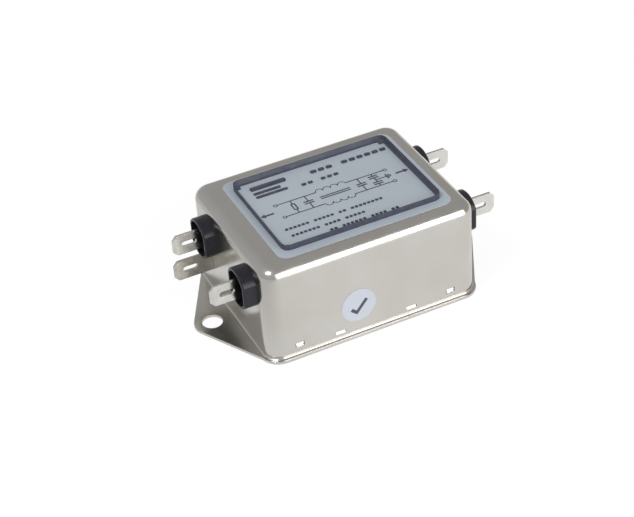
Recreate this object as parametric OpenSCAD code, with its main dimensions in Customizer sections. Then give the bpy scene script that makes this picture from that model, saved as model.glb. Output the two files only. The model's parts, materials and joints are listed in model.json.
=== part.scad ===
// EMI line filter in a drawn steel can with two mounting ears.
//
// Line end at -X, load end at +X, sticker side at -Y, roof up.
// The origin is midway between the two mounting holes, on the underside.

/* [Case] */
// Length of the can over its end walls
case_l = 64.8; // [60:0.1:80]
// Width of the can over its long walls
case_w = 49.8; // [46:0.1:60]
// Height of the can over its roof
case_h = 30.3; // [28:0.1:40]
// Thickness of the can's sheet
sheet_t = 0.8; // [0.5:0.05:1]
// Radius of the upright corners, outside
corner_r = 4.7; // [4:0.1:6.5]
// Radius of the drawn edge round the roof, outside
roof_r = 3.3; // [2:0.1:3.9]
// Radius of the bend between the walls and the foot flange, outside
foot_r = 0.6; // [0.3:0.05:1]
// Width of the trimmed lip that is left along the foot
lip_w = 1.1; // [1:0.1:1.6]

/* [Mounting ears] */
// Distance between the two mounting holes
hole_pitch = 78; // [76:0.5:96]
// Diameter of the mounting holes
hole_d = 5.9; // [3:0.1:6]
// Radius of the round tip of an ear
ear_tip_r = 5.2; // [4:0.1:8]
// Width of an ear where it leaves the lip
ear_root_w = 42.5; // [30:0.5:44]

/* [Base plate] */
// Thickness of the base plate
plate_t = 1.2; // [0.8:0.1:1.4]
// Height of the base plate's underside above the mounting plane
plate_z = 3.2; // [3:0.1:4]
// Gap between the base plate and the can's walls
plate_gap = 0.25; // [0.1:0.05:0.4]
// Distance of the outer marks, the tab windows, from the middle
window_x = 23.4; // [20:0.1:25]
// Width of a tab window
window_w = 2.7; // [2:0.1:4]
// Depth of the groove staked into a tab's end
stake_d = 0.25; // [0.1:0.05:0.3]
// Distance of the inner marks, the lanced tongues, from the middle
tongue_x = 11; // [6:0.1:14]
// Width of a lanced tongue
tongue_w = 2.9; // [2:0.1:4]
// Height at which a tongue is hinged to the wall
tongue_foot = 2.6; // [2.2:0.1:2.8]
// How far a tongue's top is pushed inwards
tongue_lean = 0.5; // [0.3:0.05:0.8]

/* [Terminals] */
// Height of the live terminals
terminal_z = 21.7; // [21:0.1:22]
// Place of the terminals nearer the sticker side
near_y = -15.1; // [-16:0.1:-13]
// Place of the terminals on the far side
far_y = 11; // [9:0.1:13]
// Width of a blade
blade_w = 6.35; // [4.8:0.05:6.4]
// Thickness of a blade
blade_t = 0.8; // [0.5:0.1:0.9]
// Reach of the line blades beyond the end wall
line_reach = 11.8; // [10:0.1:13]
// Reach of the load blades beyond the end wall
load_reach = 10.8; // [9:0.1:12]
// Length of the corners cut off a blade's tip
tip_cut = 1.3; // [0.5:0.1:1.6]
// Length of the bevel pressed along a blade's tip
tip_bevel = 1.1; // [0.5:0.1:1.5]
// Length of the slot in a blade, over its round ends
slot_l = 4.4; // [2:0.1:5]
// Width of the slot in a blade
slot_w = 1.7; // [1:0.1:2]
// Distance from a blade's tip to its slot
slot_from_tip = 2.7; // [2:0.1:3.5]
// Width of the solder tail behind a live blade
tail_w = 3.6; // [2.5:0.1:4]
// Length of the solder tail behind its collar
tail_l = 3; // [2:0.1:4]
// Place of the earth blade across the end wall
earth_y = 12.6; // [12:0.1:14.5]
// Height of the earth blade
earth_z = 11.9; // [11:0.1:12]
// Length of the earth blade's welded foot, with its bend
earth_foot_l = 5; // [4:0.1:7]
// Inside radius of the bend in the earth blade
earth_bend_r = 0.3; // [0.2:0.05:0.5]

/* [Collars] */
// Diameter of a collar
collar_d = 11.9; // [11:0.1:12]
// Distance between the two flats of a collar
collar_flats = 10.2; // [9.5:0.1:10.8]
// Wall of a collar's cup
collar_wall = 0.8; // [0.7:0.05:1.2]
// How far the line collars stand out of the end wall
line_collar_out = 4.1; // [3:0.1:5]
// How far the load collars stand out of the end wall
load_collar_out = 2.4; // [2:0.1:4]
// Thickness of the cup's floor in front of the wall
collar_floor = 0.4; // [0.3:0.1:0.8]
// Diameter of a collar's neck, in its keyed hole
neck_d = 9.2; // [8.8:0.1:10]
// Distance between the two flats of the neck
neck_flats = 7.8; // [6:0.1:8.5]
// Length of the neck behind the wall
neck_behind = 2.5; // [2:0.1:3]
// Height of the snap barbs on the neck
barb_h = 0.7; // [0.4:0.05:0.7]
// Width of the snap barbs
barb_w = 4; // [2:0.1:5]
// Chamfer round the rim of a collar
rim_chamfer = 0.3; // [0.1:0.05:0.4]
// Gap between a neck and the keyed hole it stands in
neck_gap = 0.1; // [0.05:0.05:0.2]

/* [Label and sticker] */
// Length of the rating label
label_l = 52.8; // [40:0.1:55]
// Width of the rating label
label_w = 40.6; // [30:0.1:41]
// Radius of the label's corners
label_r = 3; // [1:0.1:5]
// Thickness of the label
label_t = 0.12; // [0.05:0.01:0.3]
// Place of the label's middle along the can
label_x = 1.2; // [0:0.1:2]
// Place of the label's middle across the can
label_y = -0.4; // [-0.8:0.1:0.8]
// Diameter of the round sticker
sticker_d = 10.4; // [6:0.1:12]
// Thickness of the round sticker
sticker_t = 0.1; // [0.05:0.01:0.3]
// Place of the round sticker along the can
sticker_x = -5.2; // [-20:0.1:20]
// Height of the round sticker's middle
sticker_z = 10.3; // [10:0.1:20]

/* [Circuit board] */
// Gap between the circuit board and the can's end walls
board_end_gap = 3.1; // [2:0.1:3.4]
// Gap between the circuit board and the can's long walls
board_side_gap = 2.6; // [1.6:0.1:3]
// Thickness of the circuit board
board_t = 1.6; // [0.8:0.1:1.6]
// Thickness of the insulating sheet on the base plate
film_t = 0.4; // [0.2:0.1:0.6]
// Height of the moulded frame under the board
frame_h = 3.2; // [2.5:0.1:4]
// Wall of the moulded frame
frame_wall = 1.4; // [1:0.1:2]
// How far solder tails come through the board
pin_through = 1.2; // [0.8:0.1:1.6]
// Gap between a lead and its hole in the board
hole_gap = 0.1; // [0.05:0.05:0.2]

/* [Choke] */
// Outside diameter of the ring core
core_od = 22; // [20:0.5:23]
// Bore of the ring core
core_id = 13; // [12:0.5:14]
// Height of the ring core
core_h = 9; // [7:0.5:11]
// Chamfer round the core's edges
core_chamfer = 0.7; // [0.5:0.1:1]
// Diameter of the winding wire
coil_d = 1; // [0.8:0.05:1]
// Turns in each winding
turns = 11; // [6:1:11]
// Angle of the ring that each winding covers
coil_arc = 130; // [100:1:140]
// Gap between the winding wire and the core
coil_gap = 0.05; // [0.02:0.01:0.1]
// Thickness of the divider's base and of its upright wall
divider_t = 1.2; // [1:0.1:1.5]
// Gap between the divider's wall and the core's bore
divider_gap = 0.3; // [0.2:0.05:0.4]
// Width of the rests that the core stands on
rest_w = 3; // [2:0.1:5]

/* [Capacitors and resistor] */
// Length of an X capacitor's box
xcap_l = 18; // [14:0.5:18]
// Thickness of an X capacitor's box
xcap_t = 8.5; // [6:0.5:8.5]
// Height of an X capacitor's box
xcap_h = 14.5; // [10:0.5:15]
// Length of the feet under an X capacitor's box
xcap_foot_l = 1.4; // [1:0.1:1.8]
// Height of the feet under an X capacitor's box
xcap_foot_h = 0.7; // [0.4:0.1:1]
// Pitch of an X capacitor's leads
xcap_pitch = 15; // [10:0.5:15]
// Distance of the X capacitors from the middle of the board
xcap_x = 18.5; // [18:0.1:19]
// Place of the X capacitors across the board
xcap_y = -2; // [-4:0.5:0]
// Diameter of a Y capacitor's disc
ycap_d = 9; // [7:0.5:9.5]
// Thickness of a Y capacitor's disc
ycap_t = 3.6; // [3:0.1:4]
// Pitch of a Y capacitor's leads
ycap_pitch = 5; // [5:0.5:6]
// Distance of the Y capacitors from the middle of the board
ycap_x = 17; // [15:0.5:18]
// Distance of the Y capacitors' middle from the board's far edge
ycap_edge = 4.1; // [3:0.1:4.4]
// Height of a Y capacitor's disc above the board
ycap_lift = 1; // [0.5:0.1:2]
// Diameter of a component's lead
lead_d = 0.8; // [0.6:0.1:0.8]
// Length of the bleed resistor's body
res_l = 9; // [6:0.5:9]
// Diameter of the bleed resistor's body, over its end caps
res_d = 3.2; // [2.4:0.1:3.2]
// Length of the resistor's end caps
res_cap_l = 1.8; // [1:0.1:2]
// How far the end caps stand proud of the body between them
res_cap_step = 0.25; // [0.1:0.05:0.4]
// Pitch of the bleed resistor's bent leads
res_pitch = 15; // [14:0.5:18]
// Radius of the bend in the resistor's leads
res_bend_r = 1; // [0.8:0.1:1.2]
// Distance of the bleed resistor's axis from the board's near edge
res_edge = 3.1; // [2:0.1:4]

/* [Hook-up leads] */
// Diameter of a lead over its insulation
wire_d = 1.6; // [1.2:0.1:1.8]
// Radius of the bend in a lead
wire_bend_r = 2; // [1.6:0.1:2.4]
// Straight run of a lead before its bend
wire_run = 0.6; // [0.4:0.1:1]
// Straight run of the earth lead before its bend
earth_run = 2.6; // [2.4:0.1:3.2]

/* [Hidden] */
$fn = 64;
overcut = 0.5;
LINE = -1;
LOAD = 1;

half_l = case_l / 2;
half_w = case_w / 2;
collar_r = collar_d / 2;
neck_r = neck_d / 2;
neck_back = -sheet_t - neck_behind;
plate_top = plate_z + plate_t;
tab_crest = plate_t / 8;
film_top = plate_top + film_t;
board_l = case_l - 2 * (sheet_t + board_end_gap);
board_w = case_w - 2 * (sheet_t + board_side_gap);
board_z = film_top + frame_h;
board_top = board_z + board_t;
pin_z = board_z - pin_through;
ycap_y = board_w / 2 - ycap_edge;
res_y = res_edge - board_w / 2;

// Where the hook-up leads meet the tails, and where they stand on the board
tail_x = half_l + neck_back - tail_l;
wire_x = tail_x - wire_run - wire_bend_r;
foot_x = half_l - sheet_t - blade_t;
earth_wire_x = foot_x - earth_run - wire_bend_r;
earth_wire_y = earth_y + blade_t / 2 + (earth_foot_l + earth_bend_r) / 2;
earth_wire_z = earth_z + blade_w / 2 - wire_d;

// The choke: the core, and the centre line of the wire round the core's section
coil_r = coil_d / 2;
coil_off = coil_r + coil_gap;
coil_cut = core_chamfer - coil_off * (sqrt(2) - 1);
coil_out_r = core_od / 2 + coil_off;
coil_start = 90 - coil_arc / 2;
coil_sides = 8;
turn_points = 8;
core_z = board_top + divider_t + coil_d + 2 * coil_gap;
core_mid_z = core_z + core_h / 2;
core_mid_r = (core_od + core_id) / 4;
core_half_t = (core_od - core_id) / 4;
divider_r = coil_out_r - coil_r - divider_gap;

// One turn of wire round the core's section, as radius and height from its middle
out_r = core_half_t + coil_off;
out_z = core_h / 2 + coil_off;
cut_r = core_half_t - coil_cut;
cut_z = core_h / 2 - coil_cut;
turn = [[out_r, -cut_z], [out_r, cut_z], [cut_r, out_z], [-cut_r, out_z],
        [-out_r, cut_z], [-out_r, -cut_z], [-cut_r, -out_z], [cut_r, -out_z]];
coil_path = concat(
    [ring_point(coil_start, out_r, pin_z - core_mid_z)],
    [for (i = [0 : turns * turn_points - 1])
        ring_point(coil_angle(i), turn[i % turn_points][0], turn[i % turn_points][1])],
    [ring_point(coil_start + coil_arc, out_r, -out_z - coil_gap),
     ring_point(coil_start + coil_arc, out_r, pin_z - core_mid_z)]
);

// Places of the leads on the board
lead_places = concat(
    [for (sx = [-1, 1], y = [near_y, far_y]) [sx * wire_x, y]],
    [[-earth_wire_x, earth_wire_y]],
    [for (sx = [-1, 1], sy = [-1, 1]) [sx * xcap_x, xcap_y + sy * xcap_pitch / 2]],
    [for (sx = [-1, 1], lead = [-1, 1]) [sx * ycap_x + lead * ycap_pitch / 2, ycap_y]],
    [for (sx = [-1, 1]) [sx * res_pitch / 2, res_y]]
);
coil_places = [for (sx = [-1, 1], sy = [-1, 1])
    coil_out_r * [sx * cos(coil_start), sy * sin(coil_start)]];

// ---------- placing ----------

// Puts a part on an end wall: its own +x points out of the wall, from the outer face
module on_end(end, y, z) {
    translate([end * half_l, y, z]) mirror([end < 0 ? 1 : 0, 0, 0]) children();
}

// Turns a part with its axis along z so that the axis runs along x
module along_x() {
    rotate([90, 0, 90]) children();
}

// Extrudes an outline drawn in x and z, centred across y
module across_y(width) {
    rotate([90, 0, 0]) linear_extrude(width, center = true) children();
}

module rounded_rect(l, w, r) {
    hull() for (x = [-1, 1], y = [-1, 1])
        translate([x * (l / 2 - r), y * (w / 2 - r)]) circle(r, $fn = 32);
}

// ---------- the can ----------

// Section of the can's sheet: x is the distance from a corner's axis, y the height
module can_section() {
    bend_z = sheet_t + foot_r;
    difference() {
        union() {
            translate([0, case_h - roof_r]) square([corner_r - roof_r, roof_r]);
            translate([corner_r - roof_r, case_h - roof_r]) quarter_disc(roof_r);
            translate([0, bend_z]) square([corner_r, case_h - roof_r - bend_z]);
            square([corner_r + foot_r, bend_z]);
            square([corner_r + lip_w, sheet_t]);
        }
        // the hollow inside
        translate([-overcut, -overcut])
            square([corner_r - roof_r + overcut, case_h - sheet_t + overcut]);
        translate([-overcut, -overcut])
            square([corner_r - sheet_t + overcut, case_h - roof_r + overcut]);
        translate([corner_r - roof_r, case_h - roof_r]) quarter_disc(roof_r - sheet_t);
        // the bend outside, above the lip
        translate([corner_r + foot_r, bend_z]) circle(foot_r);
        // the bend inside, under the wall's foot
        difference() {
            translate([corner_r - sheet_t - overcut, -overcut]) square(bend_z + overcut);
            translate([corner_r + foot_r, bend_z]) circle(bend_z);
        }
    }
}

module quarter_disc(r) {
    intersection() {
        circle(r);
        square(r + overcut);
    }
}

// One straight run of the section, of the given length, on the +x side
module can_side(length, half) {
    translate([half - corner_r, 0, 0]) rotate([90, 0, 0])
        linear_extrude(length, center = true) can_section();
}

module can_corner() {
    translate([half_l - corner_r, half_w - corner_r, 0])
        rotate_extrude(angle = 90) can_section();
}

module can_shell() {
    straight_l = case_l - 2 * corner_r;
    straight_w = case_w - 2 * corner_r;
    for (mx = [0, 1], my = [0, 1]) mirror([mx, 0, 0]) mirror([0, my, 0]) can_corner();
    for (m = [0, 1]) {
        mirror([m, 0, 0]) can_side(straight_w, half_l);
        mirror([0, m, 0]) rotate(90) can_side(straight_l, half_w);
    }
    translate([-straight_l / 2, -straight_w / 2, case_h - sheet_t])
        cube([straight_l, straight_w, sheet_t]);
}

// A mounting ear, drawn on from the lip at the +x end
module ear() {
    linear_extrude(sheet_t) hull() {
        translate([hole_pitch / 2, 0]) circle(ear_tip_r);
        translate([half_l + foot_r, -ear_root_w / 2]) square([lip_w - foot_r, ear_root_w]);
    }
}

// A round outline with two flats at its sides
module keyed_outline(r, flats) {
    intersection() {
        circle(r);
        square([flats, 4 * r], center = true);
    }
}

// Places children on both long walls at plus and minus x; y runs inwards from the face
module on_long_walls(x) {
    for (side = [0, 1], sx = [-1, 1])
        mirror([0, side, 0]) translate([sx * x, -half_w, 0]) children();
}

// The cut round a tongue, and the tongue that leans in under the base plate
module tongue_cut() {
    cut_w = tongue_w + plate_gap;
    translate([-cut_w / 2, -overcut, tongue_foot])
        cube([cut_w, sheet_t + 2 * overcut, plate_z + plate_gap - tongue_foot]);
}

module tongue() {
    translate([-tongue_w / 2, 0, 0]) along_x() linear_extrude(tongue_w)
        polygon([[0, tongue_foot], [tongue_lean, plate_z],
                 [tongue_lean + sheet_t, plate_z], [sheet_t, tongue_foot]]);
}

// The window for one tab of the base plate, which rests on its sill
module window_cut() {
    translate([-window_w / 2, -overcut, plate_z])
        cube([window_w, sheet_t + 2 * overcut, plate_t + plate_gap]);
}

module collar_hole(end, y) {
    on_end(end, y, terminal_z) translate([-sheet_t - overcut, 0, 0]) along_x()
        linear_extrude(sheet_t + 2 * overcut)
            keyed_outline(neck_r + neck_gap, neck_flats + 2 * neck_gap);
}

// The slot for the earth blade, wider on the side of its bend
module earth_slot() {
    side = blade_t / 2 + neck_gap;
    height = blade_w + 2 * neck_gap;
    on_end(LINE, earth_y, earth_z)
        translate([-sheet_t - overcut, -side, -height / 2])
            cube([sheet_t + 2 * overcut, 2 * side + earth_bend_r, height]);
}

module case() {
    color([0.74, 0.72, 0.69]) difference() {
        union() {
            can_shell();
            for (m = [0, 1]) mirror([m, 0, 0]) ear();
        }
        on_long_walls(tongue_x) tongue_cut();
        on_long_walls(window_x) window_cut();
        for (end = [LINE, LOAD]) {
            translate([end * hole_pitch / 2, 0, -overcut])
                cylinder(d = hole_d, h = sheet_t + 2 * overcut);
            for (y = [near_y, far_y]) collar_hole(end, y);
        }
        earth_slot();
    }
    color([0.74, 0.72, 0.69]) on_long_walls(tongue_x) tongue();
}

module base_plate() {
    gap = sheet_t + plate_gap;
    color([0.7, 0.7, 0.68]) translate([0, 0, plate_z]) {
        linear_extrude(plate_t)
            rounded_rect(case_l - 2 * gap, case_w - 2 * gap, corner_r - gap);
        on_long_walls(window_x) plate_tab();
    }
}

// A tab that ends level with the wall; the groove staked along its end has spread it
module plate_tab() {
    width = window_w - 2 * plate_gap;
    root = 2 * (sheet_t + plate_gap);
    translate([-width / 2, 0, 0]) along_x() linear_extrude(width)
        polygon([[root, 0], [stake_d / 2, 0], [0, tab_crest], [stake_d, plate_t / 2 - tab_crest],
                 [0, plate_t / 2 + tab_crest], [stake_d, plate_t], [root, plate_t]]);
}

module rating_label() {
    color([0.73, 0.76, 0.8]) translate([label_x, label_y, case_h]) linear_extrude(label_t)
        rounded_rect(label_l, label_w, label_r);
}

module round_sticker() {
    color([0.78, 0.8, 0.84]) translate([sticker_x, -half_w, sticker_z])
        rotate([90, 0, 0]) cylinder(d = sticker_d, h = sticker_t);
}

// ---------- terminals ----------

// A cup with two flats outside the wall, and a neck that snaps in behind it
module collar(end, y, out) {
    color([0.13, 0.13, 0.15]) on_end(end, y, terminal_z) difference() {
        union() {
            intersection() {
                along_x() cup_body(out);
                cup_flats(out);
            }
            translate([neck_back, 0, 0]) along_x() linear_extrude(-neck_back)
                keyed_outline(neck_r, neck_flats);
            for (m = [0, 1]) mirror([0, 0, m]) barb();
        }
        translate([collar_floor, 0, 0]) along_x() linear_extrude(out)
            keyed_outline(collar_r - collar_wall, collar_flats - 2 * collar_wall);
        translate([neck_back - overcut, -blade_t / 2, -blade_w / 2])
            cube([out - neck_back, blade_t, blade_w]);
    }
}

module cup_body(height) {
    cylinder(r = collar_r, h = height - rim_chamfer);
    translate([0, 0, height - rim_chamfer])
        cylinder(r1 = collar_r, r2 = collar_r - rim_chamfer, h = rim_chamfer);
}

// The space between the flats, with the same chamfer at the rim, seen from above
module cup_flats(out) {
    flat = collar_flats / 2;
    linear_extrude(2 * collar_d, center = true)
        polygon([[0, -flat], [out - rim_chamfer, -flat], [out, rim_chamfer - flat],
                 [out, flat - rim_chamfer], [out - rim_chamfer, flat], [0, flat]]);
}

// A wedge that bears on the wall's inner face; its root is sunk in the round neck
module barb() {
    across_y(barb_w)
        polygon([[-sheet_t, neck_r / 2], [-sheet_t, neck_r + barb_h],
                 [neck_back, neck_r - barb_h], [neck_back, neck_r / 2]]);
}

module collar_line_near() { collar(LINE, near_y, line_collar_out); }
module collar_line_far() { collar(LINE, far_y, line_collar_out); }
module collar_load_near() { collar(LOAD, near_y, load_collar_out); }
module collar_load_far() { collar(LOAD, far_y, load_collar_out); }

// Outline of a blade from its root to its tip, x along the blade
module blade_outline(root, reach) {
    half = blade_w / 2;
    slot_end = reach - slot_from_tip - slot_w / 2;
    difference() {
        polygon([[root, -half], [reach - tip_cut, -half], [reach, tip_cut - half],
                 [reach, half - tip_cut], [reach - tip_cut, half], [root, half]]);
        for (x = [slot_end, slot_end - slot_l + slot_w]) translate([x, 0]) circle(d = slot_w);
        translate([slot_end - slot_l + slot_w, -slot_w / 2]) square([slot_l - slot_w, slot_w]);
    }
}

// The blade's thickness seen from above, thinned to half along the tip
module blade_edge(root, reach) {
    half = blade_t / 2;
    polygon([[root, -half], [reach - tip_bevel, -half], [reach, -half / 2],
             [reach, half / 2], [reach - tip_bevel, half], [root, half]]);
}

// The flat of a blade, with the bevel pressed along its tip
module blade_flat(root, reach) {
    intersection() {
        across_y(2 * blade_t) blade_outline(root, reach);
        linear_extrude(2 * blade_w, center = true) blade_edge(root, reach);
    }
}

module blade(end, y, reach) {
    color([0.82, 0.82, 0.8]) on_end(end, y, terminal_z) {
        blade_flat(neck_back, reach);
        translate([neck_back - tail_l, -blade_t / 2, -tail_w / 2]) cube([tail_l, blade_t, tail_w]);
    }
}

module blade_line_near() { blade(LINE, near_y, line_reach); }
module blade_line_far() { blade(LINE, far_y, line_reach); }
module blade_load_near() { blade(LOAD, near_y, load_reach); }
module blade_load_far() { blade(LOAD, far_y, load_reach); }

// The earth blade passes through its slot, and its foot is welded inside the wall
module earth_blade() {
    half = blade_t / 2;
    bend_x = earth_bend_r - sheet_t;
    color([0.8, 0.79, 0.76]) on_end(LINE, earth_y, earth_z) {
        blade_flat(bend_x, line_reach);
        linear_extrude(blade_w, center = true) {
            translate([bend_x, half + earth_bend_r]) intersection() {
                difference() {
                    circle(earth_bend_r + blade_t);
                    circle(earth_bend_r);
                }
                translate([-2 * blade_t, -2 * blade_t]) square(2 * blade_t);
            }
            translate([-sheet_t - blade_t, half + earth_bend_r])
                square([blade_t, earth_foot_l - earth_bend_r]);
        }
    }
}

// ---------- circuit board ----------

module insulating_sheet() {
    color([0.9, 0.88, 0.75]) translate([0, 0, plate_top]) linear_extrude(film_t)
        rounded_rect(board_l + frame_wall, board_w + frame_wall, frame_wall);
}

module board_frame() {
    color([0.2, 0.2, 0.22]) translate([0, 0, film_top]) linear_extrude(frame_h) difference() {
        rounded_rect(board_l, board_w, frame_wall);
        square([board_l - 2 * frame_wall, board_w - 2 * frame_wall], center = true);
    }
}

module board_holes(places, d) {
    for (p = places) translate([p[0], p[1], board_z - overcut])
        cylinder(d = d + 2 * hole_gap, h = board_t + 2 * overcut);
}

module circuit_board() {
    color([0.35, 0.42, 0.22]) difference() {
        translate([0, 0, board_z]) linear_extrude(board_t)
            rounded_rect(board_l, board_w, frame_wall);
        board_holes(lead_places, lead_d);
        board_holes(coil_places, coil_d);
    }
}

// ---------- choke ----------

// Ring core with chamfered edges, lying flat
module choke_core() {
    half = core_h / 2;
    edge = core_half_t - core_chamfer;
    color([0.22, 0.25, 0.22]) translate([0, 0, core_mid_z]) rotate_extrude()
        translate([core_mid_r, 0])
            polygon([[-edge, -half], [edge, -half], [core_half_t, core_chamfer - half],
                     [core_half_t, half - core_chamfer], [edge, half], [-edge, half],
                     [-core_half_t, half - core_chamfer], [-core_half_t, core_chamfer - half]]);
}

// Base with two rests for the core, and a wall through the bore between the windings
module choke_divider() {
    rest_x = core_id / 2;
    wall_l = core_id - 2 * divider_gap;
    color([0.85, 0.85, 0.8]) translate([0, 0, board_top]) {
        cylinder(r = divider_r, h = divider_t);
        for (m = [0, 1]) mirror([m, 0, 0]) translate([rest_x, -rest_w / 2, 0])
            cube([divider_r - divider_t - rest_x, rest_w, core_z - board_top]);
        translate([-wall_l / 2, -divider_t / 2, 0])
            cube([wall_l, divider_t, core_z + core_h + coil_d - board_top]);
    }
}

function ring_point(angle, r, z) = [(core_mid_r + r) * cos(angle), (core_mid_r + r) * sin(angle),
                                    core_mid_z + z];
function coil_angle(i) = coil_start + coil_arc * i / (turns * turn_points);

function unit(v) = v / norm(v);
function heading(path, i) = unit(path[min(i + 1, len(path) - 1)] - path[max(i - 1, 0)]);
// Ring of points round the wire; the ring core's own direction keeps it from twisting
function wire_ring(path, i) =
    let (t = heading(path, i),
         round = unit([-path[i][1], path[i][0], 0]),
         n = unit(cross(t, round)),
         b = cross(n, t))
    [for (k = [0 : coil_sides - 1])
        path[i] + coil_r * (cos(360 * k / coil_sides) * n + sin(360 * k / coil_sides) * b)];

module swept_wire(path) {
    last = len(path) - 1;
    points = [for (i = [0 : last]) each wire_ring(path, i)];
    sides = [for (i = [0 : last - 1], k = [0 : coil_sides - 1])
        let (k2 = (k + 1) % coil_sides)
        [i * coil_sides + k, i * coil_sides + k2,
         (i + 1) * coil_sides + k2, (i + 1) * coil_sides + k]];
    ends = [[for (k = [coil_sides - 1 : -1 : 0]) k],
            [for (k = [0 : coil_sides - 1]) last * coil_sides + k]];
    polyhedron(points, concat(sides, ends), convexity = 10);
}

module choke_winding_line() { color([0.72, 0.42, 0.2]) swept_wire(coil_path); }
module choke_winding_neutral() { color([0.72, 0.42, 0.2]) rotate(180) swept_wire(coil_path); }

// ---------- capacitors and resistor ----------

// Straight lead from a component down through the board
module pin(x, y, top) {
    translate([x, y, pin_z]) cylinder(d = lead_d, h = top - pin_z);
}

// Boxed film capacitor on two feet
module x_capacitor(end) {
    color([0.85, 0.72, 0.2]) {
        translate([end * xcap_x, xcap_y, board_top]) difference() {
            translate([-xcap_t / 2, -xcap_l / 2, 0]) cube([xcap_t, xcap_l, xcap_h]);
            translate([-xcap_t, xcap_foot_l - xcap_l / 2, -overcut])
                cube([2 * xcap_t, xcap_l - 2 * xcap_foot_l, overcut + xcap_foot_h]);
        }
        for (side = [-1, 1])
            pin(end * xcap_x, xcap_y + side * xcap_pitch / 2, board_top + 2 * xcap_foot_h);
    }
}

module x_capacitor_line() { x_capacitor(LINE); }
module x_capacitor_load() { x_capacitor(LOAD); }

// Ceramic disc with a round rim, standing on its two leads
module y_capacitor(end) {
    mid_z = board_top + ycap_lift + ycap_d / 2;
    flat_r = ycap_d / 2 - ycap_t / 2;
    color([0.2, 0.4, 0.75]) {
        translate([end * ycap_x, ycap_y, mid_z]) rotate([90, 0, 0]) rotate_extrude() {
            translate([0, -ycap_t / 2]) square([flat_r, ycap_t]);
            intersection() {
                translate([flat_r, 0]) circle(d = ycap_t);
                translate([flat_r, -ycap_t]) square(2 * ycap_t);
            }
        }
        for (side = [-1, 1]) pin(end * ycap_x + side * ycap_pitch / 2, ycap_y, mid_z);
    }
}

module y_capacitor_line() { y_capacitor(LINE); }
module y_capacitor_load() { y_capacitor(LOAD); }

// A quarter of a ring of wire in x and z, from straight right to straight up
module quarter_bend(radius, d) {
    rotate([90, 0, 0]) rotate_extrude(angle = 90) translate([radius, 0]) circle(d = d);
}

// Resistor that lies on the board, with caps at its ends and bent leads
module bleed_resistor() {
    axis_z = board_top + res_d / 2;
    color([0.8, 0.7, 0.5]) translate([0, res_y, axis_z]) {
        translate([-res_l / 2, 0, 0]) along_x() {
            cylinder(r = res_d / 2 - res_cap_step, h = res_l);
            for (z = [0, res_l - res_cap_l])
                translate([0, 0, z]) cylinder(d = res_d, h = res_cap_l);
        }
        for (m = [0, 1]) mirror([m, 0, 0]) res_lead();
    }
}

module res_lead() {
    bend_x = res_pitch / 2 - res_bend_r;
    translate([res_l / 2, 0, 0]) along_x() cylinder(d = lead_d, h = bend_x - res_l / 2);
    translate([bend_x, 0, -res_bend_r]) quarter_bend(res_bend_r, lead_d);
    translate([res_pitch / 2, 0, pin_z - board_top - res_d / 2])
        cylinder(d = lead_d, h = board_top + res_d / 2 - res_bend_r - pin_z);
}

// ---------- hook-up leads ----------

// Lead from a terminal at from_x, bent down to the board, with its bare end through it
module hook_up_lead(end, y, z, from_x, run) {
    down_x = from_x - run - wire_bend_r;
    color([0.75, 0.2, 0.15]) mirror([end < 0 ? 1 : 0, 0, 0]) translate([0, y, 0]) {
        translate([from_x - run, 0, z]) along_x() cylinder(d = wire_d, h = run);
        translate([from_x - run, 0, z - wire_bend_r]) mirror([1, 0, 0])
            quarter_bend(wire_bend_r, wire_d);
        translate([down_x, 0, board_top]) cylinder(d = wire_d, h = z - wire_bend_r - board_top);
        pin(down_x, 0, board_top);
    }
}

module lead_line_near() { hook_up_lead(LINE, near_y, terminal_z, tail_x, wire_run); }
module lead_line_far() { hook_up_lead(LINE, far_y, terminal_z, tail_x, wire_run); }
module lead_load_near() { hook_up_lead(LOAD, near_y, terminal_z, tail_x, wire_run); }
module lead_load_far() { hook_up_lead(LOAD, far_y, terminal_z, tail_x, wire_run); }
module lead_earth() { hook_up_lead(LINE, earth_wire_y, earth_wire_z, foot_x, earth_run); }

case();
base_plate();
rating_label();
round_sticker();
collar_line_near();
collar_line_far();
collar_load_near();
collar_load_far();
blade_line_near();
blade_line_far();
blade_load_near();
blade_load_far();
earth_blade();
insulating_sheet();
board_frame();
circuit_board();
choke_core();
choke_divider();
choke_winding_line();
choke_winding_neutral();
x_capacitor_line();
x_capacitor_load();
y_capacitor_line();
y_capacitor_load();
bleed_resistor();
lead_line_near();
lead_line_far();
lead_load_near();
lead_load_far();
lead_earth();
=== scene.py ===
# %% [markdown]
# # A line filter in a drawn steel can
#
# This lesson dresses a small mains filter: a satin can pressed from one sheet, black
# moulded collars, tinned blades, and a printed label. The solids come from the CAD
# model and keep their shape. What is added here is their finish, the print on the
# label, and a few marks that are too thin or too small for the solids.

# %% Load the frame
import json
import math

import bpy
from mathutils import Matrix, Vector


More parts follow.
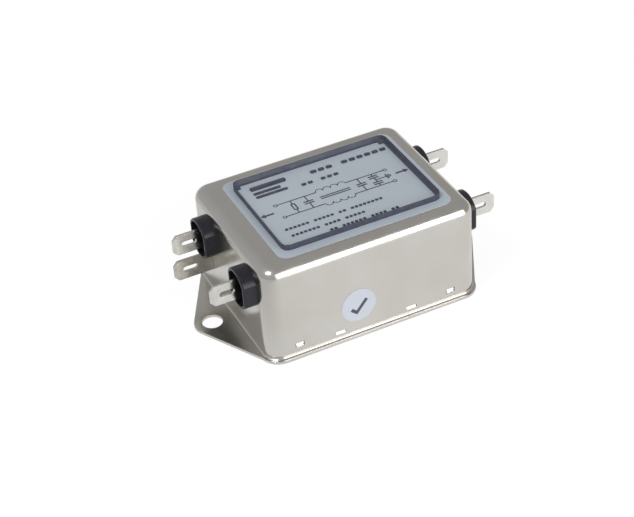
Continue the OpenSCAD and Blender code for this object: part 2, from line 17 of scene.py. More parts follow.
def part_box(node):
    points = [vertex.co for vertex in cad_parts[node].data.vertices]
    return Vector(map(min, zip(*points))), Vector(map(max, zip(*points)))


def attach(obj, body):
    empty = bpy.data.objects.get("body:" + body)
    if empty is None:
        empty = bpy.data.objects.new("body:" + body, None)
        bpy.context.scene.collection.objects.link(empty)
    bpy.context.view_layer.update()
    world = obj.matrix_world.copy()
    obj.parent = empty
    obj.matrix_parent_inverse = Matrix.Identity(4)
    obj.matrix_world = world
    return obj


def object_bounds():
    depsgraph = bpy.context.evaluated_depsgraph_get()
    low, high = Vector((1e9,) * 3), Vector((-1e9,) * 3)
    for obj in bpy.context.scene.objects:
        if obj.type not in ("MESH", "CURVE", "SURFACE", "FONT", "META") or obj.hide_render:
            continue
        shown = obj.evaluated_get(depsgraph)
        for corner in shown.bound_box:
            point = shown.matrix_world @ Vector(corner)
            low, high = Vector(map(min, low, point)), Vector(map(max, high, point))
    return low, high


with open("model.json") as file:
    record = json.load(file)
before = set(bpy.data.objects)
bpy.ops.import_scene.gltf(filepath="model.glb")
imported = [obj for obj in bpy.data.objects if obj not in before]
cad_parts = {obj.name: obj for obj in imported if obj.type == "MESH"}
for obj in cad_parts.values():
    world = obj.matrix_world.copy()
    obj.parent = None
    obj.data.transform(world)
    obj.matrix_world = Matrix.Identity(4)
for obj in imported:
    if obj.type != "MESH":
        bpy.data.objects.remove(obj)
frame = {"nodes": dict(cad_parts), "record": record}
cad_low, cad_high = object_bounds()
MM = 0.001
print("the frame holds", len(frame["nodes"]), "pieces,",
      round((cad_high.x - cad_low.x) / MM, 1), "mm long")

# %% [markdown]
# ## The camera
#
# The can is seen from above its front left corner, with a long lens, so that its edges
# stay nearly parallel. The camera looks along its own -Z. Its three axes are worked out
# from an azimuth and an elevation, as on a globe, and then it is rolled a little.

# %% Place the camera
view_azimuth = math.radians(-23.7)
view_elevation = math.radians(36.94)
view_roll = math.radians(-4.17)
view_distance = 488.3 * MM
view_lens = 98.1
aim_height = 15.15 * MM
aim_right = -4.78 * MM
aim_up = -5.77 * MM


def camera_axes():
    """The camera's right, up and backward directions, as the columns of a matrix."""
    back = Vector((math.sin(view_azimuth) * math.cos(view_elevation),
                   -math.cos(view_azimuth) * math.cos(view_elevation),
                   math.sin(view_elevation)))
    right = Vector((math.cos(view_azimuth), math.sin(view_azimuth), 0))
    up = back.cross(right)
    return Matrix((right, up, back)).transposed() @ Matrix.Rotation(view_roll, 3, "Z")


camera_data = bpy.data.cameras.new("camera")
camera_data.lens = view_lens
camera_data.clip_start = 0.01
camera = bpy.data.objects.new("camera", camera_data)
bpy.context.scene.collection.objects.link(camera)
turned = camera_axes()
aim = Vector((0, 0, aim_height)) + turned @ Vector((aim_right, aim_up, 0))
camera.matrix_world = Matrix.Translation(aim + turned.col[2] * view_distance) @ turned.to_4x4()
bpy.context.scene.camera = camera
print("the camera stands", round(camera.location.z, 3), "m above the floor")

# %% [markdown]
# ## The light
#
# Bright metal shows what stands round it more than it shows itself, so the room is laid
# out as a set of things to mirror. A white floor in front makes the near wall pale, and
# an even grey room tones the roof. One lamp stands low in front: the rounded edges
# bend its picture into long bright lines. Another, smaller, hangs above on the left: it
# lights the label, and leaves a glint on the rounded corner.

# %% Light the room
bpy.context.scene.view_settings.view_transform = "Standard"
room_left = (0.52, 0.53, 0.545)
room_right = (0.435, 0.43, 0.425)
lamp_distance = 0.8


def link(tree, source, output, target, socket):
    """Joins an output of one node to an input of another."""
    tree.links.new(source.outputs[output], target.inputs[socket])


def ramp_node(tree, stops):
    """A colour ramp with the given positions and colours."""
    node = tree.nodes.new("ShaderNodeValToRGB")
    ends = node.color_ramp.elements
    for i, (position, colour) in enumerate(stops):
        stop = ends[i] if i < 2 else ends.new(position)
        stop.position = position
        stop.color = (*colour, 1)
    return node


def make_world():
    """An even room, a little lighter on the left, and white where the camera looks past."""
    world = bpy.data.worlds.new("room")
    bpy.context.scene.world = world
    world.use_nodes = True
    tree = world.node_tree
    tree.nodes.clear()
    place = tree.nodes.new("ShaderNodeTexCoord")
    split = tree.nodes.new("ShaderNodeSeparateXYZ")
    across = tree.nodes.new("ShaderNodeMapRange")
    across.inputs["From Min"].default_value = -1.0
    across.inputs["From Max"].default_value = 1.0
    room = ramp_node(tree, [(0.2, room_left), (0.7, room_right)])
    rays = tree.nodes.new("ShaderNodeLightPath")
    choice = tree.nodes.new("ShaderNodeMix")
    choice.data_type = "RGBA"
    choice.inputs["B"].default_value = (1, 1, 1, 1)
    glow = tree.nodes.new("ShaderNodeBackground")
    out = tree.nodes.new("ShaderNodeOutputWorld")
    link(tree, place, "Generated", split, "Vector")
    link(tree, split, "X", across, "Value")
    link(tree, across, "Result", room, "Fac")
    link(tree, room, "Color", choice, "A")
    link(tree, rays, "Is Camera Ray", choice, "Factor")
    link(tree, choice, "Result", glow, "Color")
    link(tree, glow, "Background", out, "Surface")


def softbox(name, direction, width, height, power):
    """A rectangular lamp that faces the middle of the can, and that the camera can't see."""
    data = bpy.data.lights.new(name, "AREA")
    data.shape = "RECTANGLE"
    data.size = width
    data.size_y = height
    data.energy = power
    lamp = bpy.data.objects.new(name, data)
    bpy.context.scene.collection.objects.link(lamp)
    towards = Vector(direction).normalized()
    lamp.location = Vector((0, 0, aim_height)) + towards * lamp_distance
    lamp.rotation_euler = towards.to_track_quat("Z", "Y").to_euler()
    lamp.visible_camera = False


make_world()
softbox("low_front_lamp", (0.34, -0.87, 0.37), width=0.60, height=0.58, power=3.6)
softbox("upper_left_lamp", (-0.52, -0.22, 0.83), width=0.22, height=0.22, power=2.4)
print("two lamps and a room")

# %% [markdown]
# ## The floor
#
# A plain white floor. What the camera and the metal see of it is mostly a glow of about
# strength 1, which is white, so that no extra light has to fall on the object. A part of
# it stays an ordinary white surface, and that part keeps the soft shadow under the can.
# What the metal mirrors grows dimmer to the left, so that the corner turns into shade.

# %% Lay the floor
floor_size = 6
floor_drop = 0.1 * MM
floor_paint = (0.86, 0.86, 0.86, 1)
floor_glow = 0.88  # share of the glow in what the camera and the metal see
floor_strength = 1.04  # of the glow, for the camera
floor_left = 0.68  # of the glow, for the metal, on the left
shade_from = -70 * MM
shade_to = -15 * MM


def make_floor():
    """A white plane whose mirrored glow fades to the left."""
    bpy.ops.object.select_all(action="DESELECT")
    bpy.ops.mesh.primitive_plane_add(size=floor_size, location=(0, 0, cad_low.z - floor_drop))
    floor = bpy.context.object
    floor.name = "floor"
    bpy.ops.object.transform_apply(location=True, rotation=True, scale=True)
    paint = bpy.data.materials.new("floor_white")
    paint.use_nodes = True
    tree = paint.node_tree
    tree.nodes.clear()
    rays = tree.nodes.new("ShaderNodeLightPath")
    place = tree.nodes.new("ShaderNodeTexCoord")
    split = tree.nodes.new("ShaderNodeSeparateXYZ")
    across = tree.nodes.new("ShaderNodeMapRange")
    across.inputs["From Min"].default_value = shade_from
    across.inputs["From Max"].default_value = shade_to
    across.inputs["To Min"].default_value = floor_left
    across.inputs["To Max"].default_value = 1.0
    seen = tree.nodes.new("ShaderNodeMath")
    seen.operation = "MAXIMUM"
    share = tree.nodes.new("ShaderNodeMath")
    share.operation = "MULTIPLY"
    share.inputs[1].default_value = floor_glow
    mirrored = tree.nodes.new("ShaderNodeMix")
    mirrored.data_type = "FLOAT"
    mirrored.inputs["A"].default_value = floor_strength
    white = tree.nodes.new("ShaderNodeBsdfDiffuse")
    white.inputs["Color"].default_value = floor_paint
    glow = tree.nodes.new("ShaderNodeEmission")
    mix = tree.nodes.new("ShaderNodeMixShader")
    out = tree.nodes.new("ShaderNodeOutputMaterial")
    link(tree, place, "Object", split, "Vector")
    link(tree, split, "X", across, "Value")
    link(tree, rays, "Is Glossy Ray", mirrored, "Factor")
    link(tree, across, "Result", mirrored, "B")
    link(tree, mirrored, "Result", glow, "Strength")
    link(tree, rays, "Is Camera Ray", seen, 0)
    link(tree, rays, "Is Glossy Ray", seen, 1)
    link(tree, seen, "Value", share, 0)
    link(tree, share, "Value", mix, "Fac")
    link(tree, white, "BSDF", mix, 1)
    link(tree, glow, "Emission", mix, 2)
    link(tree, mix, "Shader", out, "Surface")
    floor.data.materials.append(paint)


make_floor()
print("the floor lies at", round(cad_low.z - floor_drop, 4), "m")

# %% [markdown]
# ## Shared effects
#
# Four small node groups serve every finish. The first gives a value that drifts over the
# surface, the second a colour that drifts, the third rounds the edges of a pressed or
# moulded piece in its shading, and the fourth adds a fine grain. Each has named inputs,
# so that every material can use it at its own scale.

# %% Make the shared node groups


def new_group(name, inputs, outputs):
    """An empty node group with named sockets, and its input and output nodes."""
    tree = bpy.data.node_groups.new(name, "ShaderNodeTree")
    for socket, kind, value in inputs:
        item = tree.interface.new_socket(socket, in_out="INPUT", socket_type=kind)
        if value is not None:
            item.default_value = value
    for socket, kind in outputs:
        tree.interface.new_socket(socket, in_out="OUTPUT", socket_type=kind)
    return tree, tree.nodes.new("NodeGroupInput"), tree.nodes.new("NodeGroupOutput")


def drifting_value():
    """A soft noise, stretched to run from Low to High."""
    tree, given, result = new_group("drifting_value", [
        ("Scale", "NodeSocketFloat", 100), ("Detail", "NodeSocketFloat", 3),
        ("Low", "NodeSocketFloat", 0), ("High", "NodeSocketFloat", 1)],
        [("Value", "NodeSocketFloat")])
    place = tree.nodes.new("ShaderNodeTexCoord")
    noise = tree.nodes.new("ShaderNodeTexNoise")
    spread = tree.nodes.new("ShaderNodeMapRange")
    spread.inputs["From Min"].default_value = 0.3
    spread.inputs["From Max"].default_value = 0.7
    link(tree, place, "Object", noise, "Vector")
    link(tree, given, "Scale", noise, "Scale")
    link(tree, given, "Detail", noise, "Detail")
    link(tree, noise, "Fac", spread, "Value")
    link(tree, given, "Low", spread, "To Min")
    link(tree, given, "High", spread, "To Max")
    link(tree, spread, "Result", result, "Value")
    return tree


def drifting_colour(value_group):
    """A colour that drifts between two others."""
    tree, given, result = new_group("drifting_colour", [
        ("Scale", "NodeSocketFloat", 100),
        ("First", "NodeSocketColor", (1, 1, 1, 1)),
        ("Second", "NodeSocketColor", (0, 0, 0, 1))],
        [("Color", "NodeSocketColor")])
    noise = tree.nodes.new("ShaderNodeGroup")
    noise.node_tree = value_group
    mix = tree.nodes.new("ShaderNodeMix")
    mix.data_type = "RGBA"
    link(tree, given, "Scale", noise, "Scale")
    link(tree, noise, "Value", mix, "Factor")
    link(tree, given, "First", mix, "A")
    link(tree, given, "Second", mix, "B")
    link(tree, mix, "Result", result, "Color")
    return tree


def rounded_edges():
    """Normals that turn smoothly over an edge, and a mask of where they do."""
    tree, given, result = new_group("rounded_edges", [
        ("Radius", "NodeSocketFloat", 0.0001)],
        [("Normal", "NodeSocketVector"), ("Edge", "NodeSocketFloat")])
    bevel = tree.nodes.new("ShaderNodeBevel")
    bevel.samples = 6
    flat = tree.nodes.new("ShaderNodeNewGeometry")
    match = tree.nodes.new("ShaderNodeVectorMath")
    match.operation = "DOT_PRODUCT"
    edge = tree.nodes.new("ShaderNodeMapRange")
    edge.inputs["From Min"].default_value = 0.995
    edge.inputs["From Max"].default_value = 0.85
    link(tree, given, "Radius", bevel, "Radius")
    link(tree, bevel, "Normal", match, 0)
    link(tree, flat, "Normal", match, 1)
    link(tree, match, "Value", edge, "Value")
    link(tree, bevel, "Normal", result, "Normal")
    link(tree, edge, "Result", result, "Edge")
    return tree


def fine_grain():
    """A bump of fine noise over broad waves, on top of the normal that comes in."""
    tree, given, result = new_group("fine_grain", [
        ("Scale", "NodeSocketFloat", 2000), ("Depth", "NodeSocketFloat", 0.00001),
        ("Wave scale", "NodeSocketFloat", 80), ("Wave depth", "NodeSocketFloat", 0.00001),
        ("Normal", "NodeSocketVector", None)],
        [("Normal", "NodeSocketVector")])
    place = tree.nodes.new("ShaderNodeTexCoord")
    link_normal = (given, "Normal")
    for scale, depth, detail in (("Wave scale", "Wave depth", 1), ("Scale", "Depth", 2)):
        noise = tree.nodes.new("ShaderNodeTexNoise")
        noise.inputs["Detail"].default_value = detail
        bump = tree.nodes.new("ShaderNodeBump")
        link(tree, place, "Object", noise, "Vector")
        link(tree, given, scale, noise, "Scale")
        link(tree, noise, "Fac", bump, "Height")
        link(tree, given, depth, bump, "Distance")
        link(tree, link_normal[0], link_normal[1], bump, "Normal")
        link_normal = (bump, "Normal")
    link(tree, link_normal[0], link_normal[1], result, "Normal")
    return tree


DRIFT = drifting_value()
TINT = drifting_colour(DRIFT)
EDGES = rounded_edges()
GRAIN = fine_grain()
print("groups:", [tree.name for tree in bpy.data.node_groups])

# %% [markdown]
# ## Finishes
#
# Every finish is one Principled shader that is fed by the groups: a colour that drifts a
# little, a roughness that drifts more, edges that catch the light, and a grain. Numbers
# that stay the same all over a piece are set on the shader itself. A finish is told by
# its values: nickel is metallic and smooth, laminate is dull and green.

# %% Make one finish


def place_group(tree, group, **values):
    """Puts a shared group into a material, with its own values."""
    node = tree.nodes.new("ShaderNodeGroup")
    node.node_tree = group
    for socket, value in values.items():
        node.inputs[socket.replace("_", " ")].default_value = value
    return node


def make_finish(name, first, second, rough, tint_scale=90, rough_scale=260, grain=2500,
                depth=0.002, wave_scale=90, wave_depth=0.0, edge=0.08, worn=None,
                **shader_values):
    """A dressed Principled material. Depths and the edge radius are in millimetres."""
    material = bpy.data.materials.new(name)
    material.use_nodes = True
    tree = material.node_tree
    shader = tree.nodes["Principled BSDF"]
    for socket, value in shader_values.items():
        shader.inputs[socket.replace("_", " ")].default_value = value
    tint = place_group(tree, TINT, Scale=tint_scale, First=(*first, 1), Second=(*second, 1))
    gloss = place_group(tree, DRIFT, Scale=rough_scale, Low=rough[0], High=rough[1])
    corners = place_group(tree, EDGES, Radius=edge * MM)
    surface = place_group(tree, GRAIN, Scale=grain, Depth=depth * MM,
                          Wave_scale=wave_scale, Wave_depth=wave_depth * MM)
    link(tree, corners, "Normal", surface, "Normal")
    link(tree, surface, "Normal", shader, "Normal")
    link(tree, gloss, "Value", shader, "Roughness")
    if worn is None:
        link(tree, tint, "Color", shader, "Base Color")
        return material
    rub = tree.nodes.new("ShaderNodeMix")
    rub.data_type = "RGBA"
    rub.inputs["B"].default_value = (*worn, 1)
    link(tree, corners, "Edge", rub, "Factor")
    link(tree, tint, "Color", rub, "A")
    link(tree, rub, "Result", shader, "Base Color")
    return material


FINISHES = {
    "nickel_steel": make_finish(
        "satin_nickel", (0.62, 0.605, 0.575), (0.575, 0.55, 0.51), (0.17, 0.27),
        tint_scale=55, rough_scale=120, grain=1800, depth=0.0006,
        wave_scale=70, wave_depth=0.012, edge=0.12, Metallic=1.0),
    "plate_steel": make_finish(
        "zinc_plate", (0.60, 0.61, 0.62), (0.50, 0.51, 0.52), (0.30, 0.45),
        tint_scale=140, Metallic=1.0),
    "label_film": make_finish(
        "label_film", (0.415, 0.462, 0.512), (0.395, 0.442, 0.495), (0.38, 0.46),
        depth=0.0008, edge=0.05, Coat_Weight=0.2, Coat_Roughness=0.3),
    "sticker_film": make_finish(
        "sticker_film", (0.53, 0.56, 0.62), (0.51, 0.54, 0.61), (0.40, 0.50),
        depth=0.0008, edge=0.04),
    "black_plastic": make_finish(
        "black_moulding", (0.010, 0.010, 0.015), (0.016, 0.016, 0.022), (0.24, 0.34),
        rough_scale=400, grain=3500, depth=0.0012, edge=0.16,
        worn=(0.03, 0.03, 0.036), Specular_IOR_Level=0.35),
    "tinned_brass": make_finish(
        "tin_plate", (0.74, 0.735, 0.70), (0.64, 0.63, 0.59), (0.18, 0.28),
        tint_scale=320, grain=2200, depth=0.0012, edge=0.08, Metallic=1.0),
    # A darker copy of the same tin plate, with painted shade for the far blades, which mirror
    # darker things than the near one.
    "tinned_steel": make_finish(
        "tin_plate_painted_shade", (0.62, 0.61, 0.56), (0.50, 0.48, 0.43), (0.18, 0.30),
        tint_scale=260, grain=2200, depth=0.0012, edge=0.08, Metallic=1.0),
    "pressboard": make_finish(
        "pressboard", (0.62, 0.57, 0.40), (0.55, 0.50, 0.34), (0.6, 0.8),
        grain=1500, depth=0.01),
    "frame_plastic": make_finish(
        "frame_plastic", (0.03, 0.03, 0.034), (0.045, 0.045, 0.05), (0.45, 0.6),
        depth=0.004),
    "board_laminate": make_finish(
        "board_laminate", (0.09, 0.15, 0.045), (0.12, 0.19, 0.07), (0.35, 0.5),
        tint_scale=600, depth=0.003),
    "ferrite": make_finish(
        "ferrite_coat", (0.03, 0.045, 0.03), (0.05, 0.07, 0.045), (0.4, 0.6),
        grain=1200, depth=0.01, edge=0.2),
    "nylon": make_finish(
        "nylon", (0.68, 0.67, 0.60), (0.62, 0.61, 0.54), (0.4, 0.55), depth=0.003),
    "enamelled_copper": make_finish(
        "enamelled_copper", (0.50, 0.20, 0.07), (0.40, 0.14, 0.05), (0.15, 0.25),
        tint_scale=500, Metallic=1.0, Coat_Weight=0.6),
    "yellow_case": make_finish(
        "capacitor_yellow", (0.62, 0.40, 0.04), (0.56, 0.35, 0.03), (0.35, 0.5),
        depth=0.003, edge=0.2),
    "blue_epoxy": make_finish(
        "capacitor_blue", (0.03, 0.11, 0.36), (0.02, 0.08, 0.28), (0.2, 0.35),
        wave_depth=0.05, Coat_Weight=0.4),
    "resistor_lacquer": make_finish(
        "resistor_lacquer", (0.55, 0.40, 0.22), (0.48, 0.34, 0.18), (0.25, 0.4),
        Coat_Weight=0.4),
    "red_insulation": make_finish(
        "red_insulation", (0.42, 0.03, 0.02), (0.36, 0.02, 0.015), (0.3, 0.42)),
    "blue_insulation": make_finish(
        "blue_insulation", (0.02, 0.09, 0.34), (0.015, 0.07, 0.28), (0.3, 0.42)),
    "green_insulation": make_finish(
        "green_insulation", (0.05, 0.26, 0.05), (0.04, 0.20, 0.04), (0.3, 0.42)),
}

slot_of = {part["node"]: part["material_slot"] for part in frame["record"]["subparts"]}
for name, node in frame["nodes"].items():
    node.data.materials.clear()
    node.data.materials.append(FINISHES[slot_of[name]])
print(len(FINISHES), "finishes on", len(frame["nodes"]), "pieces")

# %% [markdown]
# ## The print on the label
#
# The label of a filter carries a frame line, a heading, a wiring diagram and rows of
# ratings. This part names no maker and no type, so neutral dashes stand for all words,
# and the diagram is the plain textbook one: two lines through a choke, with capacitors
# across them and to earth. The ink is modelled as solids, with the tools for any other
# piece. Everything is drawn round the middle of the label, u along the can and v across
# it.

# %% Ink and a first bar
INK = make_finish("printing_ink", (0.045, 0.05, 0.075), (0.065, 0.07, 0.10), (0.45, 0.60),
                  tint_scale=700, edge=0.02)
label_low, label_high = (Vector(corner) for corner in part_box("rating_label"))
label_middle = (label_low + label_high) / 2
ink_rise = 0.02 * MM
ink_root = 0.01 * MM
ink_line = 0.28 * MM


def add_bar(u, v, length, width, round_off=0.3):
    """A bar of ink: a thin cube with a bevel.

    The new cube is still selected all over, so the bevel acts on every edge and not only
    on the upright ones, and the bar stands out by the width of its bevel.
    """
    bpy.ops.object.select_all(action="DESELECT")
    bpy.ops.mesh.primitive_cube_add(
        size=1, scale=(length, width, ink_rise + ink_root),
        location=(label_middle.x + u, label_middle.y + v,
                  label_high.z + (ink_rise - ink_root) / 2))
    bar = bpy.context.object
    bpy.ops.object.transform_apply(location=True, rotation=True, scale=True)
    for edge in bar.data.edges:
        ends = [bar.data.vertices[i].co for i in edge.vertices]
        edge.select = abs(ends[0].z - ends[1].z) > ink_rise / 2
    bpy.ops.object.mode_set(mode="EDIT")
    bpy.ops.mesh.select_mode(type="EDGE")
    bpy.ops.mesh.bevel(offset=round_off * min(length, width), segments=2)
    bpy.ops.object.mode_set(mode="OBJECT")
    return bar


def print_piece(name, parts, ink=INK):
    """Joins parts into one piece of print that rides with the can."""
    bpy.ops.object.select_all(action="DESELECT")
    for part in parts:
        part.select_set(True)
    bpy.context.view_layer.objects.active = parts[0]
    if len(parts) > 1:
        bpy.ops.object.join()
    piece = bpy.context.object
    piece.name = name
    piece.data.name = name
    piece.data.materials.clear()
    piece.data.materials.append(ink)
    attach(piece, "root")
    return piece


print("the label is", round((label_high.x - label_low.x) / MM, 1), "mm long")

# %% [markdown]
# ### The frame line
#
# One line with rounded corners runs round the label, inside its edge. It starts as a thin
# block with a bevel. The faces that lie flat are inset by the width of the line and
# bridged, which opens the block into a ring. The bevel is as wide as the corners are
# round, so this ring stands that much out of the label.

# %% Frame the label
frame_inset_u = 2.35 * MM
frame_inset_v = 2.8 * MM
frame_round = 1.9 * MM


def select_faces(piece, wanted):
    """Selects the faces for which wanted(face) is true, and nothing else."""
    mesh = piece.data
    for face in mesh.polygons:
        face.select = wanted(face)
    kept = {i for face in mesh.polygons if face.select for i in face.vertices}
    for vertex in mesh.vertices:
        vertex.select = vertex.index in kept
    for edge in mesh.edges:
        edge.select = any(set(edge.vertices) <= set(face.vertices)
                          for face in mesh.polygons if face.select)


def open_ring(block, line_width):
    """Turns a block into a ring: its flat faces are inset, and what is left is bridged."""
    select_faces(block, lambda face: abs(face.normal.z) > 0.9)
    bpy.ops.object.mode_set(mode="EDIT")
    bpy.ops.mesh.select_mode(type="FACE")
    bpy.ops.mesh.inset(thickness=line_width)
    bpy.ops.mesh.bridge_edge_loops()
    bpy.ops.object.mode_set(mode="OBJECT")
    return block


frame_l = label_high.x - label_low.x - 2 * frame_inset_u
frame_w = label_high.y - label_low.y - 2 * frame_inset_v
block = add_bar(0, 0, frame_l, frame_w, round_off=frame_round / frame_w)
border = print_piece("label_border", [open_ring(block, ink_line)])
print("the frame has", len(border.data.polygons), "faces")

# %% [markdown]
# ### Dashes for the words
#
# A word becomes a run of short dashes, one for each letter it might have. One dash is
# modelled, and the others are copies of it, each with its own mesh.

# %% Set the rows of dashes


def copy_to(part, u, v):
    """A copy with its own mesh, moved by u and v."""
    twin = part.copy()
    twin.data = part.data.copy()
    twin.data.transform(Matrix.Translation((u, v, 0)))
    bpy.context.scene.collection.objects.link(twin)
    return twin


def set_row(name, u, v, dash, width, pitch, words):
    """A row of words from u to the right: words holds the number of dashes in each."""
    first = add_bar(u + dash / 2, v, dash, width)
    parts = [first]
    step = 0
    for letters in words:
        parts += [copy_to(first, (step + i) * pitch, 0) for i in range(letters) if step + i]
        step += letters + 1
    return print_piece(name, parts)


ROWS = [  # name, u, v, dash length, dash width, pitch, letters in each word
    ("heading_dashes", -1.6, 12.6, 1.75, 1.15, 2.45, (3, 6)),
    ("type_dashes", -6.4, 8.3, 1.35, 0.95, 2.0, (2, 3)),
    ("rating_dashes_1", -19.6, -8.7, 0.85, 0.75, 1.25, (6, 5, 2, 8)),
    ("rating_dashes_2", -19.2, -12.0, 0.85, 0.75, 1.25, (7, 4, 5)),
    ("rating_dashes_3", -9.0, -14.8, 0.85, 0.75, 1.25, (2, 6, 4, 2)),
]
for name, u, v, dash, width, pitch, words in ROWS:
    set_row(name, u * MM, v * MM, dash * MM, width * MM, pitch * MM, words)
BARS = [  # u, v, length, width
    (-14.6, 13.3, 10.8, 1.5),
    (-15.9, 10.9, 8.2, 0.9),
    (-15.2, 9.1, 9.6, 0.9),
]
print_piece("heading_bars", [add_bar(u * MM, v * MM, length * MM, width * MM)
                             for u, v, length, width in BARS])
print(len(ROWS), "rows and", len(BARS), "bars")

# %% [markdown]
# ### The diagram
#
# Two lines cross the label from terminal to terminal. Each swells into four humps where
# it runs through the choke. A hump is a small square of ink that is spun through half a
# turn. Two bars between the humps stand for the core they share. Pairs of plates stand
# for capacitors, and three bars that grow shorter for earth.

# %% Draw the humps, rings and arrowheads
head_spread = 5
head_point = 0.06


def add_hump(u, v, radius, way):
    """Half a ring of ink that bulges towards +v or -v: a square section, spun."""
    bpy.ops.object.select_all(action="DESELECT")
    centre = (label_middle.x + u, label_middle.y + v, label_high.z)
    bpy.ops.mesh.primitive_plane_add(size=1, location=(centre[0] + way * radius, centre[1],
                                                       centre[2] + (ink_rise - ink_root) / 2),
                                     rotation=(math.pi / 2, 0, 0))
    hump = bpy.context.object
    hump.scale = (ink_line, ink_rise + ink_root, 1)
    bpy.ops.object.transform_apply(location=True, rotation=True, scale=True)
    bpy.ops.object.mode_set(mode="EDIT")
    bpy.ops.mesh.select_all(action="SELECT")
    bpy.ops.mesh.spin(steps=10, angle=math.pi, center=centre, axis=(0, 0, 1))
    bpy.ops.mesh.select_all(action="SELECT")
    bpy.ops.mesh.remove_doubles(threshold=ink_line / 100)
    bpy.ops.mesh.normals_make_consistent(inside=False)
    bpy.ops.object.mode_set(mode="OBJECT")
    return hump


def add_ring(u, v, radius):
    """A terminal: a short cylinder opened into a ring."""
    bpy.ops.object.select_all(action="DESELECT")
    bpy.ops.mesh.primitive_cylinder_add(
        vertices=20, radius=radius, depth=ink_rise + ink_root,
        location=(label_middle.x + u, label_middle.y + v,
                  label_high.z + (ink_rise - ink_root) / 2))
    bpy.ops.object.transform_apply(location=True, rotation=True, scale=True)
    return open_ring(bpy.context.object, ink_line)


def add_arrow(u, v, length, way):
    """A shaft whose end grows into a flat head: the end face is extruded and scaled."""
    arrow = add_bar(u, v, length, 2 * ink_line, round_off=0.2)
    tip = max(way * vertex.co.x for vertex in arrow.data.vertices)
    select_faces(arrow, lambda face: way * face.normal.x > 0.9 and
                 way * face.center.x > tip - ink_line / 10)
    middle = (tip * way, label_middle.y + v, label_high.z)
    bpy.ops.object.mode_set(mode="EDIT")
    bpy.ops.mesh.select_mode(type="FACE")
    bpy.ops.mesh.extrude_region_move(TRANSFORM_OT_translate={"value": (0, 0, 0)})
    bpy.ops.transform.resize(value=(1, head_spread, 1), center_override=middle)
    bpy.ops.mesh.extrude_region_move(
        TRANSFORM_OT_translate={"value": (way * length / 2, 0, 0)})
    bpy.ops.transform.resize(value=(1, head_point, 1), center_override=middle)
    bpy.ops.object.mode_set(mode="OBJECT")
    return arrow


rail_v = 3.1 * MM
rail_end = 16.4 * MM
hump_r = 1.15 * MM
hump_count = 4
coil_end = hump_count * hump_r
ring_r = 0.66 * MM
ring_step = 0.62 * MM
core_v = 0.42 * MM
arrow_u = 20.2 * MM
arrow_l = 2.6 * MM
diagram = []
for way in (-1, 1):
    for side in (-1, 1):
        diagram.append(add_bar(side * (rail_end + coil_end) / 2, way * rail_v,
                               rail_end - coil_end, ink_line))
        diagram.append(add_ring(side * (rail_end + ring_step), way * rail_v, ring_r))
    diagram += [add_hump((2 * i + 1) * hump_r - coil_end, way * rail_v, hump_r, -way)
                for i in range(hump_count)]
    diagram.append(add_bar(0, way * core_v, 2 * coil_end, 1.2 * ink_line))
print_piece("diagram_choke", diagram)
print_piece("label_arrows", [add_arrow(side * arrow_u, 0, arrow_l, side)
                             for side in (-1, 1)])
print("the choke is drawn with", 2 * hump_count, "humps")

# %% Draw the capacitors, the resistor and the earth sign
plate_gap = 0.9 * MM
plate_l = 2.9 * MM
inner_u = 8.2 * MM
outer_u = 12.6 * MM
resistor_w = 1.3 * MM
resistor_l = 3.0 * MM


def add_capacitor(u, v, reach):
    """Two plates across the label, and the leads that run up and down from them."""
    lead = reach - plate_gap / 2
    return [part for way in (-1, 1) for part in (
        add_bar(u, v + way * plate_gap / 2, plate_l, 1.3 * ink_line),
        add_bar(u, v + way * (plate_gap / 2 + lead / 2), ink_line, lead))]


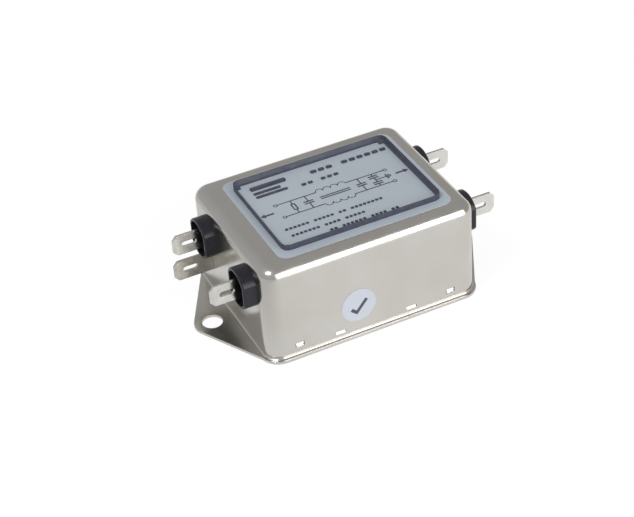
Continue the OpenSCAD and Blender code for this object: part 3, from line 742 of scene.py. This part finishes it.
print_piece("diagram_capacitors", add_capacitor(-inner_u, 0, rail_v)
            + add_capacitor(inner_u, 0, rail_v)
            + add_capacitor(outer_u, rail_v / 2, rail_v / 2)
            + add_capacitor(outer_u, -rail_v / 2, rail_v / 2))
resistor = open_ring(add_bar(-outer_u, 0, resistor_w, resistor_l, round_off=0.1), ink_line)
resistor_leads = [add_bar(-outer_u, way * (rail_v + resistor_l / 2) / 2, ink_line,
                          rail_v - resistor_l / 2) for way in (-1, 1)]
print_piece("diagram_resistor", [resistor] + resistor_leads)
earth = [add_bar(14.3 * MM, 0, 3.4 * MM, ink_line)]
earth += [add_bar((16.1 + 0.55 * i) * MM, 0, 1.2 * ink_line, (2.4 - 0.8 * i) * MM)
          for i in range(3)]
print_piece("diagram_earth", earth)
print("four pairs of plates, one resistor, one earth sign")

# %% [markdown]
# ## The mark on the sticker
#
# A round sticker on the wall gets a plain tick. A small block is the corner of an L: one
# face is extruded to the left and one upwards. The L is then turned on its corner until
# it reads as a tick.

# %% Tick the sticker
sticker_low, sticker_high = (Vector(corner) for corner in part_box("round_sticker"))
sticker_middle = (sticker_low + sticker_high) / 2
tick_width = 1.0 * MM
tick_corner = sticker_middle + Vector((-0.7, 0, -2.3)) * MM
tick_short = 1.6 * MM
tick_tall = 4.4 * MM
tick_turn = math.radians(-40)


def add_tick(short, tall):
    """An L of ink on the face of the sticker, turned into a tick."""
    bpy.ops.object.select_all(action="DESELECT")
    bpy.ops.mesh.primitive_cube_add(
        size=1, scale=(tick_width, ink_rise + ink_root, tick_width),
        location=(tick_corner.x, sticker_low.y - (ink_rise - ink_root) / 2, tick_corner.z))
    tick = bpy.context.object
    bpy.ops.object.transform_apply(location=True, rotation=True, scale=True)
    for move, wanted in (((-short, 0, 0), lambda face: face.normal.x < -0.9),
                         ((0, 0, tall), lambda face: face.normal.z > 0.9 and
                          face.center.x > tick_corner.x - tick_width / 4)):
        select_faces(tick, wanted)
        bpy.ops.object.mode_set(mode="EDIT")
        bpy.ops.mesh.select_mode(type="FACE")
        bpy.ops.mesh.extrude_region_move(TRANSFORM_OT_translate={"value": move})
        bpy.ops.object.mode_set(mode="OBJECT")
    bpy.ops.object.mode_set(mode="EDIT")
    bpy.ops.mesh.select_all(action="SELECT")
    bpy.ops.transform.rotate(value=tick_turn, orient_axis="Y",
                             center_override=tick_corner)
    bpy.ops.object.mode_set(mode="OBJECT")
    return tick


tick = print_piece("sticker_tick", [add_tick(tick_short, tick_tall)])
print("the tick has", len(tick.data.polygons), "faces")
